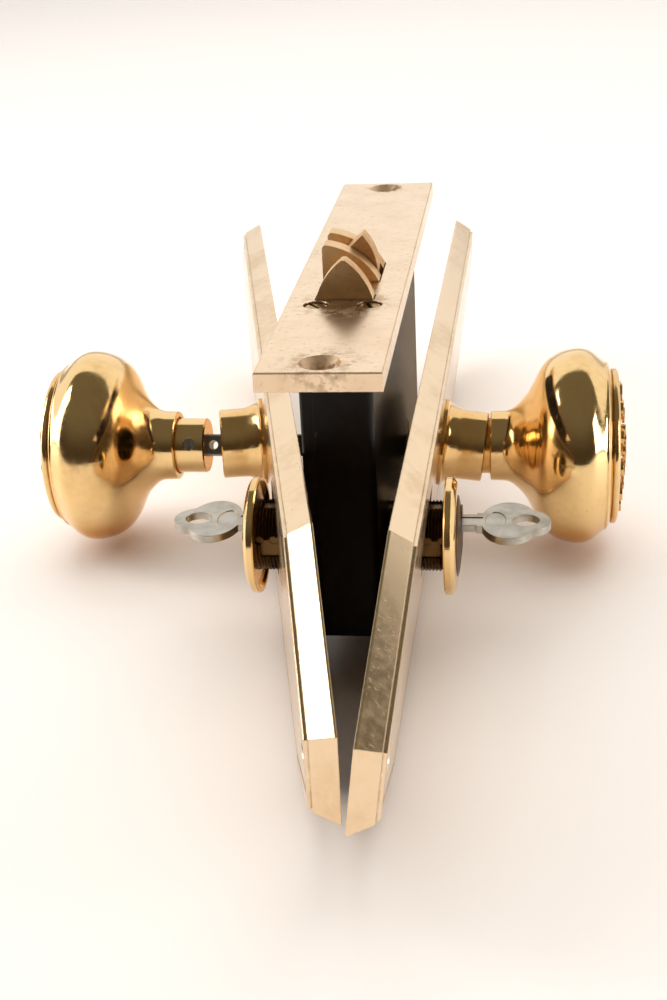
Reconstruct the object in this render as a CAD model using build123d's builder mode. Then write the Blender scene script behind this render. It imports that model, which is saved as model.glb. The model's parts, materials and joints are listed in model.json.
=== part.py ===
from build123d import *
import os
from math import atan, cos, degrees, radians, sin

# Mortise lock set: lock case with latch and guard bolts, two pin-tumbler cylinders with keys,
# a pair of knobs on a square spindle and two long bevelled escutcheon plates, loosely assembled.
# Frame: origin at the centre of the lock front's outer face, +Z out of the front,
# +X along the spindle to the right-hand knob, +Y along the front away from the cylinders. Millimetres.

os.makedirs("parts", exist_ok=True)

# ---------------------------------------------------------------- lock front and case
FRONT_LENGTH = 203.2
FRONT_WIDTH = 31.75
FRONT_THICK = 5.0
FRONT_SCREW_SPACING = 188.0
FRONT_SCREW_R = 2.8
FRONT_SCREW_HEAD_R = 5.7
CASE_LENGTH = 152.4
CASE_RIGHT = 10.6
CASE_LEFT = -8.8
CASE_BOTTOM = -86.0
CASE_WALL = 1.5
CASE_RIM = 2.5
COVER_RIM = 3.4
CAVITY_RIGHT = CASE_RIGHT - CASE_WALL
CAVITY_LEFT = CASE_LEFT + CASE_WALL
CAVITY_WIDTH = CAVITY_RIGHT - CAVITY_LEFT
CAVITY_MID = (CAVITY_RIGHT + CAVITY_LEFT) / 2
COVER_SPLIT = CASE_LEFT + COVER_RIM
POST_R = 4.0
POST_Y = 66.0
POST_TOP_Z = -15.0
POST_LOW_Z = -77.0
COVER_SCREW_R = 1.5

# ---------------------------------------------------------------- spindle and hub
SPINDLE_Y = 25.0
BACKSET = 70.0
SPINDLE_SIDE = 7.14
SPINDLE_ROLL = 24.0
SPINDLE_LEFT = -90.0
SPINDLE_RIGHT = 60.0
HUB_R = 9.5
HUB_TRUNNION_R = 8.4
HUB_ARM_R = 15.8
HUB_ARM_ANGLE = 20.0
HUB_TIP_R = 2.2

# ---------------------------------------------------------------- latch and guard bolts
BOLT_HALF_WIDTH = 8.0
BOLT_SLOT_HALF = 8.3
LATCH_Y = -14.0
CHEEK_OUT = 10.0
CHEEK_IN = 4.0
LATCH_TOP = 10.8
LATCH_BASE = -18.0
LATCH_STEM_Z = -70.0
LATCH_FOOT_Y = 9.9
LATCH_FOOT_THICK = 3.0
TONGUE_HALF = 3.6
TONGUE_PIN_X = -1.5
TONGUE_PIN_Z = -9.5
TONGUE_PIN_R = 1.5
SHELF_TOP = -40.0
GUARD_Y = -39.0
GUARD_THICK = 4.6
GUARD_TOP = 11.0
GUARD_STEM_Z = -36.0
GUARD_SHELF_TOP = -54.0
SHELF_THICK = 2.0

# ---------------------------------------------------------------- cylinders and keys
CYL_Y = -44.5
CYL_R = 10.3
CYL_INNER_X = 2.6
RING_BACK_X = 26.9
RING_R = 17.2
HEAD_R = 11.8
HEAD_FRONT_X = 31.9
PLUG_DY = 3.0
PLUG_DZ = 2.4
PLUG_Y = CYL_Y + PLUG_DY
PLUG_Z = -BACKSET + PLUG_DZ
PLUG_R = 5.6
PIN_R = 1.2
PIN_XS = (9.5, 13.7, 17.9, 22.1, 26.3)
BLADE_THICK = 2.2
BLADE_LOW = -3.2
BLADE_HIGH = 4.2
SET_SCREW_X = 7.4
SET_SCREW_Y = -45.8
SET_SCREW_HEAD_R = 3.3
SET_SCREW_ROD_R = 1.0
FLAT_WIDTH = 5.2
KEY_WITHDRAWN = 3.6

# ---------------------------------------------------------------- knobs
RIGHT_SHANK_X = 38.1
LEFT_SHANK_X = -66.0
SHANK_R = 11.4
COLLAR_R = 9.1
COLLAR_LENGTH = 9.8
NECK_BORE_R = 9.6
KNOB_CENTRE = 27.6
KNOB_R = 31.75

# ---------------------------------------------------------------- escutcheon plates
PLATE_HALF_LENGTH = 203.2
PLATE_SHOULDER = 148.0
PLATE_HALF_HEIGHT = 36.5
PLATE_END_HALF = 11.2
PLATE_EDGE = 0.6
PLATE_BEVEL_TOP = 6.2
PLATE_FACE = 7.2
PLATE_BEVEL_INSET = 2.8
PLATE_STEP = 0.9
PLATE_WEB = 2.0
PLATE_RECESS_INSET = 5.4
PLATE_GROOVE_INSET = 6.6
PLATE_GROOVE_WIDTH = 1.2
PLATE_GROOVE_DEPTH = 0.5
PLATE_BOSS_R = 16.6
PLATE_CYL_HOLE_R = 14.0
PLATE_CYL_OFFSET = SPINDLE_Y - CYL_Y
PLATE_SCREW_S = 188.0
PLATE_SCREW_R = 2.3
PLATE_SCREW_HEAD_R = 4.4
THIMBLE_R = 11.4
THIMBLE_SPIGOT_R = 12.0
THIMBLE_LENGTH = 21.5
THIMBLE_BORE_R = 10.1
THIMBLE_FLARE_R = 14.2
PLATE_Z = -68.0
LEFT_SWING = 11.5
LEFT_ORIGIN = (-29.9, 25.5, PLATE_Z)
RIGHT_TURN = 0.5
RIGHT_LEAN = 7.0
RIGHT_ORIGIN = (14.8, 25.37, PLATE_Z)

# ================================================================ lock front
with BuildPart() as faceplate:
    with BuildSketch(Plane.XY) as front_outline:
        Rectangle(FRONT_WIDTH, FRONT_LENGTH)
    extrude(amount=-FRONT_THICK)
    chamfer(faceplate.edges().group_by(Axis.Z)[-1], length=0.3)
    with Locations((0, 0, 0)):
        with GridLocations(0, FRONT_SCREW_SPACING, 1, 2):
            CounterSinkHole(FRONT_SCREW_R, FRONT_SCREW_HEAD_R, FRONT_THICK + 1)
    with BuildSketch(Plane.XY) as front_openings:
        with Locations((0, LATCH_Y)):
            Rectangle(2 * BOLT_SLOT_HALF, 2 * CHEEK_OUT + 0.8)
        with Locations((0, GUARD_Y)):
            Rectangle(2 * BOLT_SLOT_HALF, GUARD_THICK + 0.6)
    extrude(amount=-FRONT_THICK, mode=Mode.SUBTRACT)
    with Locations((-SET_SCREW_X, SET_SCREW_Y), (SET_SCREW_X, SET_SCREW_Y)):
        CounterBoreHole(SET_SCREW_ROD_R + 0.1, SET_SCREW_HEAD_R + 0.2, 3.8, FRONT_THICK + 1)
faceplate.part.label = "faceplate"
export_step(faceplate.part, "parts/faceplate.step")

# ================================================================ lock case, open on the left
with BuildPart() as case_body:
    with BuildSketch(Plane.YZ.offset(COVER_SPLIT)) as case_outline:
        with Locations((0, (CASE_BOTTOM - FRONT_THICK) / 2)):
            Rectangle(CASE_LENGTH, -CASE_BOTTOM - FRONT_THICK)
    extrude(amount=CASE_RIGHT - COVER_SPLIT)
    fillet(case_body.edges().group_by(Axis.X)[-1].sort_by(Axis.Z)[:-1], radius=1.8)
    with BuildSketch(Plane.YZ.offset(COVER_SPLIT)) as case_cavity:
        with Locations((0, (CASE_BOTTOM - FRONT_THICK) / 2)):
            Rectangle(CASE_LENGTH - 2 * CASE_RIM, -CASE_BOTTOM - FRONT_THICK - 2 * CASE_RIM)
    extrude(amount=CAVITY_RIGHT - COVER_SPLIT, mode=Mode.SUBTRACT)
    with BuildSketch(Plane.YZ.offset(CAVITY_RIGHT)) as case_posts:
        with Locations((-POST_Y, POST_TOP_Z), (POST_Y, POST_TOP_Z), (-POST_Y, POST_LOW_Z), (POST_Y, POST_LOW_Z)):
            Circle(POST_R)
    extrude(amount=-CAVITY_WIDTH)
    with BuildSketch(Plane.YZ.offset(CAVITY_RIGHT)) as latch_guide_post:
        with Locations((LATCH_Y, -43.0)):
            Circle(2.0)
    extrude(amount=-CAVITY_WIDTH)
    with BuildSketch(Plane.XY.offset(SHELF_TOP)) as latch_shelf:
        with Locations((CAVITY_MID, LATCH_Y)):
            Rectangle(CAVITY_WIDTH, 20.0)
        with Locations((0, LATCH_Y)):
            Rectangle(6.8, 8.8, mode=Mode.SUBTRACT)
    extrude(amount=-SHELF_THICK)
    with BuildSketch(Plane.XY.offset(GUARD_SHELF_TOP)) as guard_shelf:
        with Locations((CAVITY_MID, GUARD_Y)):
            Rectangle(CAVITY_WIDTH, 10.6)
    extrude(amount=-SHELF_THICK)
    with BuildSketch(Plane.YZ.offset(CAVITY_RIGHT)) as cylinder_boss:
        with Locations((CYL_Y, -BACKSET)):
            Circle(CYL_R + 2.4)
    extrude(amount=-4.5)
    with BuildSketch(Plane.YZ.offset(CASE_RIGHT)) as side_holes:
        with Locations((CYL_Y, -BACKSET)):
            Circle(CYL_R + 0.06)
        with Locations((SPINDLE_Y, -BACKSET)):
            Circle(HUB_TRUNNION_R + 0.1)
    extrude(amount=-6.2, mode=Mode.SUBTRACT)
    with BuildSketch(Plane.YZ.offset(CASE_RIGHT)) as side_windows:
        with Locations((-44.0, -11.0), (-14.0, -11.0), (6.0, -11.0)):
            SlotOverall(8.0, 5.0, rotation=90)
        with Locations((-30.0, -10.0)):
            Rectangle(2.2, 5.0)
    extrude(amount=-CASE_WALL, mode=Mode.SUBTRACT)
    with BuildSketch(Plane.XY.offset(-FRONT_THICK)) as flange_openings:
        with Locations((0, LATCH_Y)):
            Rectangle(2 * BOLT_SLOT_HALF, 2 * CHEEK_OUT + 0.8)
        with Locations((0, GUARD_Y)):
            Rectangle(2 * BOLT_SLOT_HALF, GUARD_THICK + 0.6)
    extrude(amount=-CASE_RIM, mode=Mode.SUBTRACT)
    with BuildSketch(Plane.XY.offset(-FRONT_THICK)) as set_screw_bores:
        with Locations((-SET_SCREW_X, SET_SCREW_Y), (SET_SCREW_X, SET_SCREW_Y)):
            Circle(SET_SCREW_ROD_R + 0.1)
    extrude(amount=-56.5, mode=Mode.SUBTRACT)
    with BuildSketch(Plane.YZ.offset(CAVITY_LEFT)) as post_pilots:
        with Locations((-POST_Y, POST_TOP_Z), (POST_Y, POST_TOP_Z), (-POST_Y, POST_LOW_Z), (POST_Y, POST_LOW_Z)):
            Circle(COVER_SCREW_R + 0.05)
    extrude(amount=12.0, mode=Mode.SUBTRACT)
case_body.part.label = "case_body"
export_step(case_body.part, "parts/case_body.step")

# ================================================================ left-hand cover of the case
with BuildPart() as case_cover:
    with BuildSketch(Plane.YZ.offset(CASE_LEFT)) as cover_outline:
        with Locations((0, (CASE_BOTTOM - FRONT_THICK) / 2)):
            Rectangle(CASE_LENGTH, -CASE_BOTTOM - FRONT_THICK)
    extrude(amount=COVER_RIM)
    chamfer(case_cover.edges().group_by(Axis.X)[0].sort_by(Axis.Z)[:-1], length=0.6)
    with BuildSketch(Plane.YZ.offset(COVER_SPLIT)) as cover_pocket:
        with Locations((0, (CASE_BOTTOM - FRONT_THICK) / 2)):
            Rectangle(CASE_LENGTH - 2 * CASE_RIM, -CASE_BOTTOM - FRONT_THICK - 2 * CASE_RIM)
    extrude(amount=-(COVER_RIM - CASE_WALL), mode=Mode.SUBTRACT)
    with BuildSketch(Plane.YZ.offset(CAVITY_LEFT)) as cover_boss:
        with Locations((CYL_Y, -BACKSET)):
            Circle(CYL_R + 2.4)
    extrude(amount=4.5)
    with BuildSketch(Plane.YZ.offset(CASE_LEFT)) as cover_holes:
        with Locations((CYL_Y, -BACKSET)):
            Circle(CYL_R + 0.06)
        with Locations((SPINDLE_Y, -BACKSET)):
            Circle(HUB_TRUNNION_R + 0.1)
        with Locations((-POST_Y, POST_TOP_Z), (POST_Y, POST_TOP_Z), (-POST_Y, POST_LOW_Z), (POST_Y, POST_LOW_Z)):
            Circle(COVER_SCREW_R + 0.1)
    extrude(amount=6.2, mode=Mode.SUBTRACT)
    with BuildSketch(Plane.YZ.offset(CASE_LEFT)) as cover_screw_seats:
        with Locations((-POST_Y, POST_TOP_Z), (POST_Y, POST_TOP_Z), (-POST_Y, POST_LOW_Z), (POST_Y, POST_LOW_Z)):
            Circle(3.1)
    extrude(amount=0.8, mode=Mode.SUBTRACT)
    with BuildSketch(Plane.YZ.offset(CAVITY_LEFT)) as bolt_head_pocket:
        with Locations(((GUARD_Y + LATCH_Y) / 2 + 4.0, -FRONT_THICK - CASE_RIM - 13.0)):
            Rectangle(42.0, 26.0)
    extrude(amount=-0.9, mode=Mode.SUBTRACT)
    with BuildSketch(Plane.XY.offset(-FRONT_THICK)) as cover_set_screw_bore:
        with Locations((-SET_SCREW_X, SET_SCREW_Y)):
            Circle(SET_SCREW_ROD_R + 0.1)
    extrude(amount=-56.5, mode=Mode.SUBTRACT)
    with BuildSketch(Plane.XY.offset(-FRONT_THICK)) as cover_flange_openings:
        with Locations((0, LATCH_Y)):
            Rectangle(2 * BOLT_SLOT_HALF, 2 * CHEEK_OUT + 0.8)
        with Locations((0, GUARD_Y)):
            Rectangle(2 * BOLT_SLOT_HALF, GUARD_THICK + 0.6)
    extrude(amount=-CASE_RIM, mode=Mode.SUBTRACT)
case_cover.part.label = "case_cover"
export_step(case_cover.part, "parts/case_cover.step")

# ================================================================ screws that hold the cover on
with BuildPart() as cover_screws:
    with BuildSketch(Plane.YZ.offset(CASE_LEFT)) as cover_screw_heads:
        with Locations((-POST_Y, POST_TOP_Z), (POST_Y, POST_TOP_Z), (-POST_Y, POST_LOW_Z), (POST_Y, POST_LOW_Z)):
            Circle(3.0)
    extrude(amount=0.8)
    with BuildSketch(Plane.YZ.offset(CASE_LEFT)) as cover_screw_shanks:
        with Locations((-POST_Y, POST_TOP_Z), (POST_Y, POST_TOP_Z), (-POST_Y, POST_LOW_Z), (POST_Y, POST_LOW_Z)):
            Circle(COVER_SCREW_R)
    extrude(amount=11.0)
    with BuildSketch(Plane.YZ.offset(CASE_LEFT)) as cover_screw_slots:
        with Locations((-POST_Y, POST_TOP_Z), (POST_Y, POST_TOP_Z), (-POST_Y, POST_LOW_Z), (POST_Y, POST_LOW_Z)):
            Rectangle(7.0, 0.8, rotation=35)
    extrude(amount=0.45, mode=Mode.SUBTRACT)
cover_screws.part.label = "cover_screws"
export_step(cover_screws.part, "parts/cover_screws.step")

# ================================================================ screws that lock the cylinders
with BuildPart() as cylinder_set_screws:
    with BuildSketch(Plane.XY.offset(-0.5)) as set_screw_heads:
        with Locations((-SET_SCREW_X, SET_SCREW_Y), (SET_SCREW_X, SET_SCREW_Y)):
            Circle(SET_SCREW_HEAD_R)
    extrude(amount=-3.2)
    with BuildSketch(Plane.XY.offset(-0.5)) as set_screw_rods:
        with Locations((-SET_SCREW_X, SET_SCREW_Y), (SET_SCREW_X, SET_SCREW_Y)):
            Circle(SET_SCREW_ROD_R)
    extrude(amount=-60.3)
    chamfer(cylinder_set_screws.edges().group_by(Axis.Z)[-1], length=0.3)
    with BuildSketch(Plane.XY.offset(-0.5)) as set_screw_slots:
        with Locations((-SET_SCREW_X, SET_SCREW_Y)):
            Rectangle(8.0, 1.1, rotation=128)
        with Locations((SET_SCREW_X, SET_SCREW_Y)):
            Rectangle(8.0, 1.1, rotation=108)
    extrude(amount=-1.3, mode=Mode.SUBTRACT)
cylinder_set_screws.part.label = "cylinder_set_screws"
export_step(cylinder_set_screws.part, "parts/cylinder_set_screws.step")

# ================================================================ latch bolt: two cheeks, stem and tail foot
with BuildPart() as latch_bolt:
    with BuildSketch(Plane.XZ.offset(-(LATCH_Y + CHEEK_OUT))) as latch_head:
        with BuildLine() as latch_head_line:
            Polyline(
                (BOLT_HALF_WIDTH, 0.4),
                (BOLT_HALF_WIDTH, LATCH_BASE),
                (-BOLT_HALF_WIDTH, LATCH_BASE),
                (-BOLT_HALF_WIDTH, LATCH_TOP - 1.2),
            )
            ThreePointArc(
                (-BOLT_HALF_WIDTH, LATCH_TOP - 1.2),
                (-BOLT_HALF_WIDTH + 0.4, LATCH_TOP - 0.35),
                (-BOLT_HALF_WIDTH + 1.3, LATCH_TOP),
            )
            ThreePointArc((-BOLT_HALF_WIDTH + 1.3, LATCH_TOP), (2.2, 7.1), (BOLT_HALF_WIDTH, 0.4))
        make_face()
    extrude(amount=2 * CHEEK_OUT)
    with BuildSketch(Plane.XZ.offset(-(LATCH_Y + CHEEK_IN))) as tongue_slot:
        with Locations((0, -14.4 + 15.0)):
            Rectangle(2 * BOLT_HALF_WIDTH + 2, 30.0)
    extrude(amount=2 * CHEEK_IN, mode=Mode.SUBTRACT)
    with BuildSketch(Plane.XZ.offset(-(LATCH_Y + CHEEK_IN))) as latch_stem:
        with Locations((0, (LATCH_BASE + LATCH_STEM_Z) / 2)):
            Rectangle(6.0, LATCH_BASE - LATCH_STEM_Z)
    extrude(amount=2 * CHEEK_IN)
    with BuildSketch(Plane.YZ.offset(-2.8)) as latch_foot:
        with Locations(((LATCH_FOOT_Y + LATCH_Y) / 2, LATCH_STEM_Z + LATCH_FOOT_THICK / 2)):
            Rectangle(LATCH_FOOT_Y - LATCH_Y, LATCH_FOOT_THICK)
    extrude(amount=5.6)
    with BuildSketch(Plane.YZ.offset(-4.0)) as stem_slot:
        with Locations((LATCH_Y, -37.5)):
            Rectangle(4.2, 16.0)
    extrude(amount=8.0, mode=Mode.SUBTRACT)
    with BuildSketch(Plane.XZ.offset(-(LATCH_Y + CHEEK_OUT))) as tongue_pin_bore:
        with Locations((TONGUE_PIN_X, TONGUE_PIN_Z)):
            Circle(TONGUE_PIN_R + 0.03)
    extrude(amount=2 * CHEEK_OUT, mode=Mode.SUBTRACT)
latch_bolt.part.label = "latch_bolt"
export_step(latch_bolt.part, "parts/latch_bolt.step")

# ================================================================ anti-friction tongue between the cheeks
with BuildPart() as antifriction_tongue:
    with BuildSketch(Plane.XZ.offset(-(LATCH_Y + TONGUE_HALF))) as tongue_face:
        with BuildLine() as tongue_line:
            Polyline((7.0, -1.0), (5.6, -6.5), (2.0, -13.0), (-5.0, -13.0), (-5.4, -5.0), (-4.4, 5.2), (3.0, 11.9))
            ThreePointArc((3.0, 11.9), (6.3, 6.4), (7.0, -1.0))
        make_face()
        with Locations((TONGUE_PIN_X, TONGUE_PIN_Z)):
            Circle(TONGUE_PIN_R + 0.05, mode=Mode.SUBTRACT)
    extrude(amount=2 * TONGUE_HALF)
antifriction_tongue.part.label = "antifriction_tongue"
export_step(antifriction_tongue.part, "parts/antifriction_tongue.step")

with BuildPart() as tongue_pin:
    with BuildSketch(Plane.XZ.offset(-(LATCH_Y + CHEEK_OUT - 0.2))) as tongue_pin_end:
        with Locations((TONGUE_PIN_X, TONGUE_PIN_Z)):
            Circle(TONGUE_PIN_R)
    extrude(amount=2 * CHEEK_OUT - 0.4)
tongue_pin.part.label = "tongue_pin"
export_step(tongue_pin.part, "parts/tongue_pin.step")

# ================================================================ guard bolt: pointed plate on a stem
with BuildPart() as guard_bolt:
    with BuildSketch(Plane.XZ.offset(-(GUARD_Y + GUARD_THICK / 2))) as guard_face:
        with BuildLine() as guard_line:
            ThreePointArc((-BOLT_HALF_WIDTH, 0.0), (-5.1, 6.3), (-0.5, GUARD_TOP))
            Line((-0.5, GUARD_TOP), (0.5, GUARD_TOP))
            ThreePointArc((0.5, GUARD_TOP), (5.1, 6.3), (BOLT_HALF_WIDTH, 0.0))
            Polyline(
                (BOLT_HALF_WIDTH, 0.0),
                (BOLT_HALF_WIDTH, -12.0),
                (3.0, -15.0),
                (3.0, GUARD_STEM_Z),
                (-3.0, GUARD_STEM_Z),
                (-3.0, -15.0),
                (-BOLT_HALF_WIDTH, -12.0),
                (-BOLT_HALF_WIDTH, 0.0),
            )
        make_face()
    extrude(amount=GUARD_THICK)
guard_bolt.part.label = "guard_bolt"
export_step(guard_bolt.part, "parts/guard_bolt.step")

# ================================================================ bolt springs
with BuildPart() as latch_spring:
    with BuildLine() as latch_spring_path:
        Helix(3.4, 20.6, 5.9, center=(0, LATCH_Y, SHELF_TOP + 0.7))
    with BuildSketch(Plane(origin=latch_spring_path.line @ 0, z_dir=latch_spring_path.line % 0)):
        Circle(0.6)
    sweep(is_frenet=True)
latch_spring.part.label = "latch_spring"
export_step(latch_spring.part, "parts/latch_spring.step")

with BuildPart() as guard_spring:
    with BuildLine() as guard_spring_path:
        Helix(2.85, 17.1, 2.3, center=(0, GUARD_Y, GUARD_SHELF_TOP + 0.45))
    with BuildSketch(Plane(origin=guard_spring_path.line @ 0, z_dir=guard_spring_path.line % 0)):
        Circle(0.4)
    sweep(is_frenet=True)
guard_spring.part.label = "guard_spring"
export_step(guard_spring.part, "parts/guard_spring.step")

# ================================================================ hub that rides on the square spindle
ARM_TIP_Y = SPINDLE_Y - HUB_ARM_R * cos(radians(HUB_ARM_ANGLE))
ARM_TIP_Z = -BACKSET + HUB_ARM_R * sin(radians(HUB_ARM_ANGLE))
with BuildPart() as hub:
    with BuildSketch(Plane.YZ.offset(CAVITY_LEFT + 0.2)) as hub_core:
        with Locations((SPINDLE_Y, -BACKSET)):
            Circle(HUB_R)
    extrude(amount=CAVITY_WIDTH - 0.4)
    with BuildSketch(Plane.YZ.offset(CASE_LEFT + 0.1)) as hub_trunnions:
        with Locations((SPINDLE_Y, -BACKSET)):
            Circle(HUB_TRUNNION_R)
    extrude(amount=CASE_RIGHT - CASE_LEFT - 0.2)
    with BuildSketch(Plane.YZ.offset(-2.6)) as hub_arm:
        with Locations((ARM_TIP_Y, ARM_TIP_Z)):
            Circle(HUB_TIP_R)
        with Locations((SPINDLE_Y - 5.0 * cos(radians(HUB_ARM_ANGLE)), -BACKSET + 5.0 * sin(radians(HUB_ARM_ANGLE)))):
            Circle(HUB_TIP_R + 0.9)
        make_hull()
    extrude(amount=5.2)
    with BuildSketch(Plane.YZ.offset(CASE_LEFT)) as hub_square:
        with Locations((SPINDLE_Y, -BACKSET)):
            Rectangle(SPINDLE_SIDE + 0.1, SPINDLE_SIDE + 0.1, rotation=-SPINDLE_ROLL)
    extrude(amount=CASE_RIGHT - CASE_LEFT, mode=Mode.SUBTRACT)
hub.part.label = "hub"
export_step(hub.part, "parts/hub.step")

SCREW_PLANE = Plane(
    origin=(0, SPINDLE_Y, -BACKSET),
    x_dir=(1, 0, 0),
    z_dir=(0, -cos(radians(SPINDLE_ROLL)), sin(radians(SPINDLE_ROLL))),
)
with BuildPart() as spindle:
    with BuildSketch(Plane.YZ.offset(SPINDLE_LEFT)) as spindle_section:
        with Locations((SPINDLE_Y, -BACKSET)):
            Rectangle(SPINDLE_SIDE, SPINDLE_SIDE, rotation=-SPINDLE_ROLL)
        chamfer(spindle_section.vertices(), length=0.5)
    extrude(amount=SPINDLE_RIGHT - SPINDLE_LEFT)
    with BuildSketch(SCREW_PLANE) as spindle_holes:
        with Locations((-53.8, 0), (-70.6, 0), (-79.4, 0), (45.4, 0), (54.2, 0)):
            Circle(1.5)
    extrude(amount=SPINDLE_SIDE, both=True, mode=Mode.SUBTRACT)
spindle.part.label = "spindle"
export_step(spindle.part, "parts/spindle.step")

# ================================================================ right knob, built outward from its shank end
KNOB_X = RIGHT_SHANK_X + KNOB_CENTRE
with BuildPart() as right_knob_shell:
    with BuildSketch(Plane.XY.offset(-BACKSET)) as knob_profile:
        with BuildLine() as knob_profile_line:
            Polyline(
                (RIGHT_SHANK_X, SPINDLE_Y + NECK_BORE_R),
                (RIGHT_SHANK_X, SPINDLE_Y + SHANK_R - 0.3),
                (RIGHT_SHANK_X + 0.3, SPINDLE_Y + SHANK_R),
                (KNOB_X - 23.4, SPINDLE_Y + SHANK_R + 0.1),
            )
            Spline(
                (KNOB_X - 23.4, SPINDLE_Y + SHANK_R + 0.1),
                (KNOB_X - 19.2, SPINDLE_Y + 13.4),
                (KNOB_X - 15.6, SPINDLE_Y + 17.6),
                (KNOB_X - 12.6, SPINDLE_Y + 23.6),
                (KNOB_X - 9.6, SPINDLE_Y + 27.9),
                (KNOB_X - 5.0, SPINDLE_Y + 30.7),
                (KNOB_X, SPINDLE_Y + KNOB_R),
                (KNOB_X + 5.0, SPINDLE_Y + 30.5),
                (KNOB_X + 9.2, SPINDLE_Y + 27.3),
                (KNOB_X + 10.9, SPINDLE_Y + 25.1),
                tangents=((1, 0.05), (0.55, -1)),
            )
            Polyline(
                (KNOB_X + 10.9, SPINDLE_Y + 25.1),
                (KNOB_X + 10.3, SPINDLE_Y + 23.6),
                (KNOB_X + 8.2, SPINDLE_Y + 25.4),
            )
            Spline(
                (KNOB_X + 8.2, SPINDLE_Y + 25.4),
                (KNOB_X + 4.4, SPINDLE_Y + 28.4),
                (KNOB_X, SPINDLE_Y + 29.6),
                (KNOB_X - 5.0, SPINDLE_Y + 28.5),
                (KNOB_X - 9.0, SPINDLE_Y + 25.4),
                (KNOB_X - 12.2, SPINDLE_Y + 19.6),
                (KNOB_X - 15.2, SPINDLE_Y + 14.2),
                (KNOB_X - 17.4, SPINDLE_Y + NECK_BORE_R),
            )
            Line((KNOB_X - 17.4, SPINDLE_Y + NECK_BORE_R), (RIGHT_SHANK_X, SPINDLE_Y + NECK_BORE_R))
        make_face()
    revolve(axis=Axis((0, SPINDLE_Y, -BACKSET), (1, 0, 0)))
right_knob_shell.part.label = "right_knob_shell"
export_step(right_knob_shell.part, "parts/right_knob_shell.step")

with BuildPart() as right_knob_shank:
    with BuildSketch(Plane.YZ.offset(RIGHT_SHANK_X - COLLAR_LENGTH)) as collar_section:
        with Locations((SPINDLE_Y, -BACKSET)):
            Circle(COLLAR_R)
    extrude(amount=COLLAR_LENGTH + 11.4)
    chamfer(right_knob_shank.edges().group_by(Axis.X)[0], length=0.4)
    with BuildSketch(Plane.YZ.offset(RIGHT_SHANK_X + 0.5)) as sleeve_section:
        with Locations((SPINDLE_Y, -BACKSET)):
            Circle(NECK_BORE_R - 0.02)
    extrude(amount=10.9)
    with BuildSketch(Plane.YZ.offset(RIGHT_SHANK_X - COLLAR_LENGTH)) as collar_square:
        with Locations((SPINDLE_Y, -BACKSET)):
            Rectangle(SPINDLE_SIDE + 0.12, SPINDLE_SIDE + 0.12, rotation=-SPINDLE_ROLL)
    extrude(amount=COLLAR_LENGTH + 12.0, mode=Mode.SUBTRACT)
    with BuildSketch(SCREW_PLANE) as collar_screw_bore:
        with Locations((RIGHT_SHANK_X - 5.0, 0)):
            Circle(2.05)
    extrude(amount=12.0, mode=Mode.SUBTRACT)
right_knob_shank.part.label = "right_knob_shank"
export_step(right_knob_shank.part, "parts/right_knob_shank.step")

with BuildPart() as right_set_screw:
    with BuildSketch(SCREW_PLANE.offset(COLLAR_R - 0.4)) as collar_screw:
        with Locations((RIGHT_SHANK_X - 5.0, 0)):
            Circle(2.0)
    extrude(amount=-(COLLAR_R - 0.4 - SPINDLE_SIDE / 2 - 0.05))
    with BuildSketch(SCREW_PLANE.offset(COLLAR_R - 0.4)) as collar_screw_slot:
        with Locations((RIGHT_SHANK_X - 5.0, 0)):
            Rectangle(5.0, 0.7, rotation=80)
    extrude(amount=-0.8, mode=Mode.SUBTRACT)
right_set_screw.part.label = "right_set_screw"
export_step(right_set_screw.part, "parts/right_set_screw.step")

# ================================================================ knob face: rim bead, dome and rosette
with BuildPart() as right_knob_medallion:
    with BuildSketch(Plane.XY.offset(-BACKSET)) as medallion_profile:
        with BuildLine() as medallion_line:
            Polyline(
                (KNOB_X + 9.2, SPINDLE_Y),
                (KNOB_X + 9.2, SPINDLE_Y + 22.0),
                (KNOB_X + 10.4, SPINDLE_Y + 23.5),
                (KNOB_X + 11.0, SPINDLE_Y + 25.0),
            )
            ThreePointArc(
                (KNOB_X + 11.0, SPINDLE_Y + 25.0),
                (KNOB_X + 12.9, SPINDLE_Y + 24.7),
                (KNOB_X + 12.6, SPINDLE_Y + 22.9),
            )
            Spline(
                (KNOB_X + 12.6, SPINDLE_Y + 22.9),
                (KNOB_X + 13.7, SPINDLE_Y + 17.0),
                (KNOB_X + 14.7, SPINDLE_Y + 8.5),
                (KNOB_X + 15.0, SPINDLE_Y),
                tangents=((0.2, -1), (0, -1)),
            )
            Line((KNOB_X + 15.0, SPINDLE_Y), (KNOB_X + 9.2, SPINDLE_Y))
        make_face()
    revolve(axis=Axis((0, SPINDLE_Y, -BACKSET), (1, 0, 0)))
    for ring_r, petal_length, petal_width, turn, height in (
        (18.2, 6.4, 5.6, 0.0, 14.3),
        (12.2, 5.6, 3.8, 15.0, 15.1),
    ):
        with BuildSketch(Plane.YZ.offset(KNOB_X + 12.0)) as petal_ring:
            with Locations((SPINDLE_Y, -BACKSET)):
                with PolarLocations(ring_r, 12, start_angle=turn):
                    Ellipse(petal_length / 2, petal_width / 2)
        extrude(amount=height - 12.0)
    with BuildSketch(Plane.YZ.offset(KNOB_X + 12.0)) as centre_boss:
        with Locations((SPINDLE_Y, -BACKSET)):
            Circle(6.0)
            with PolarLocations(6.0, 8):
                Circle(1.4)
    extrude(amount=3.8)
right_knob_medallion.part.label = "right_knob_medallion"
export_step(right_knob_medallion.part, "parts/right_knob_medallion.step")

# ================================================================ left knob: mirror of the right, drawn out along the spindle
LEFT_SHIFT = Location((LEFT_SHANK_X + RIGHT_SHANK_X, 0, 0))
with BuildPart() as left_knob_shell:
    add(mirror(right_knob_shell.part, about=Plane.YZ, mode=Mode.PRIVATE).moved(LEFT_SHIFT))
left_knob_shell.part.label = "left_knob_shell"
export_step(left_knob_shell.part, "parts/left_knob_shell.step")

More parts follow.
